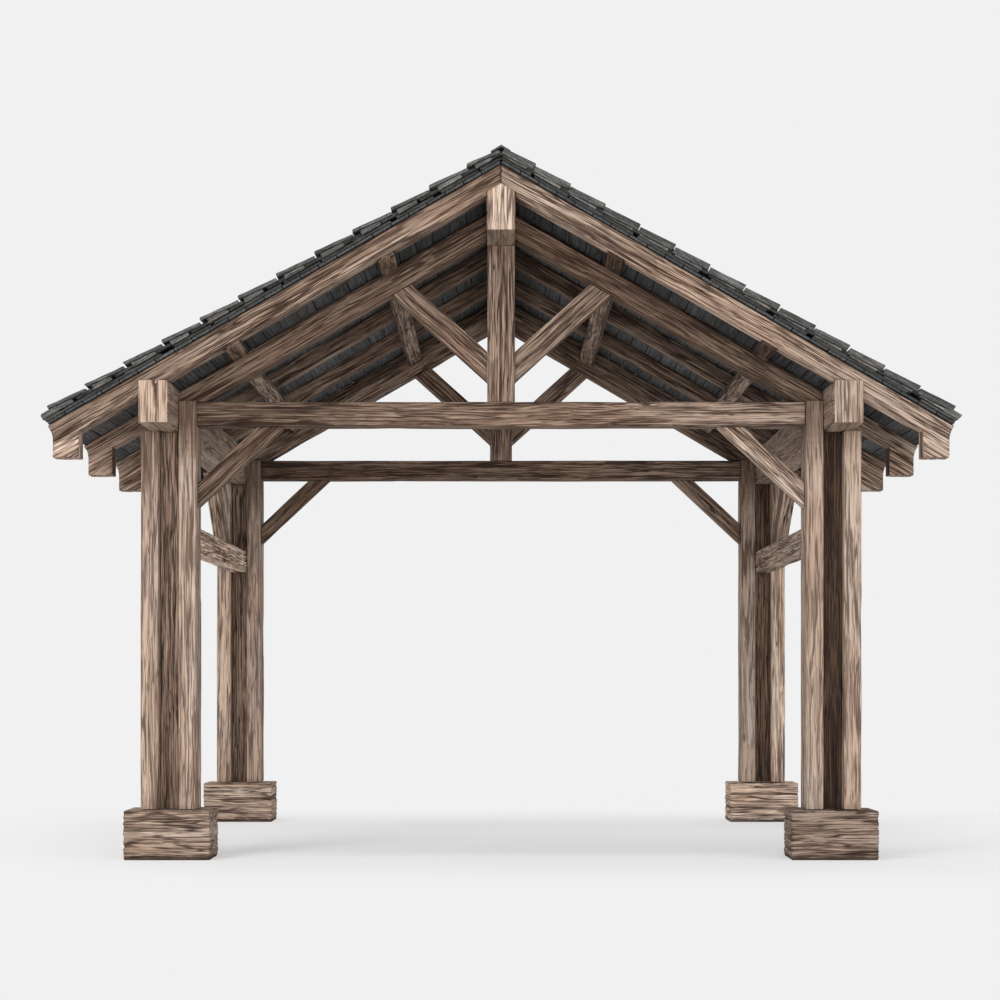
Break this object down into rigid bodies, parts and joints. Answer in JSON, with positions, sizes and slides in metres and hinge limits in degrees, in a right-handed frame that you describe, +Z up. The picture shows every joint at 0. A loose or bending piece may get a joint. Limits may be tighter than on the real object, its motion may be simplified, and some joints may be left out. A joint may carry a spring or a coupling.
{
  "type": "timber gazebo",
  "caption": "Open timber-frame gazebo: king-post trusses on clustered corner posts with base blocks, under a steep slated gable roof.",
  "frame": {"origin": "on the ground under the middle of the roof", "axes": "+Z up; X runs across the gable and Y along the ridge, with the front gable facing -Y"},
  "size_m": [6.273, 4.19, 4.8847],
  "materials": {
    "oak": "weathered, coarse open grain",
    "dark_oak": "weathered, coarse open grain, darker",
    "block_oak": "rough sawn, weathered, worn edges",
    "roof_board": "dark stained boards",
    "slate": "riven slate, matt"
  },
  "bodies": {
    "root": {"base_block_front_left": "block_oak", "base_block_front_right": "block_oak", "base_block_back_left": "block_oak", "base_block_back_right": "block_oak", "outer_post_front_left": "oak", "outer_post_front_right": "oak", "outer_post_back_left": "oak", "outer_post_back_right": "oak", "middle_post_front_left": "dark_oak", "middle_post_front_right": "dark_oak", "middle_post_back_left": "dark_oak", "middle_post_back_right": "dark_oak", "inner_post_front_left": "oak", "inner_post_front_right": "oak", "inner_post_back_left": "oak", "inner_post_back_right": "oak", "eaves_plate_left": "oak", "eaves_plate_right": "oak", "side_rail_left": "dark_oak", "side_rail_right": "dark_oak", "side_braces_left": "dark_oak", "side_braces_right": "dark_oak", "tie_beam_front": "oak", "tie_beam_back": "oak", "king_post_front": "oak", "king_post_back": "oak", "king_struts_front": "oak", "king_struts_back": "oak", "principal_rafters_front": "oak", "principal_rafters_back": "oak", "knee_braces_front": "oak", "knee_braces_back": "oak", "ridge_beam": "oak", "purlins_left": "oak", "purlins_right": "oak", "verge_rafters_left": "oak", "verge_rafters_right": "oak", "common_rafters_left": "oak", "common_rafters_right": "oak", "roof_boards_left": "roof_board", "roof_boards_right": "roof_board", "slates_left": "slate", "slates_right": "slate", "ridge_capping": "slate"}
  },
  "joints": []
}
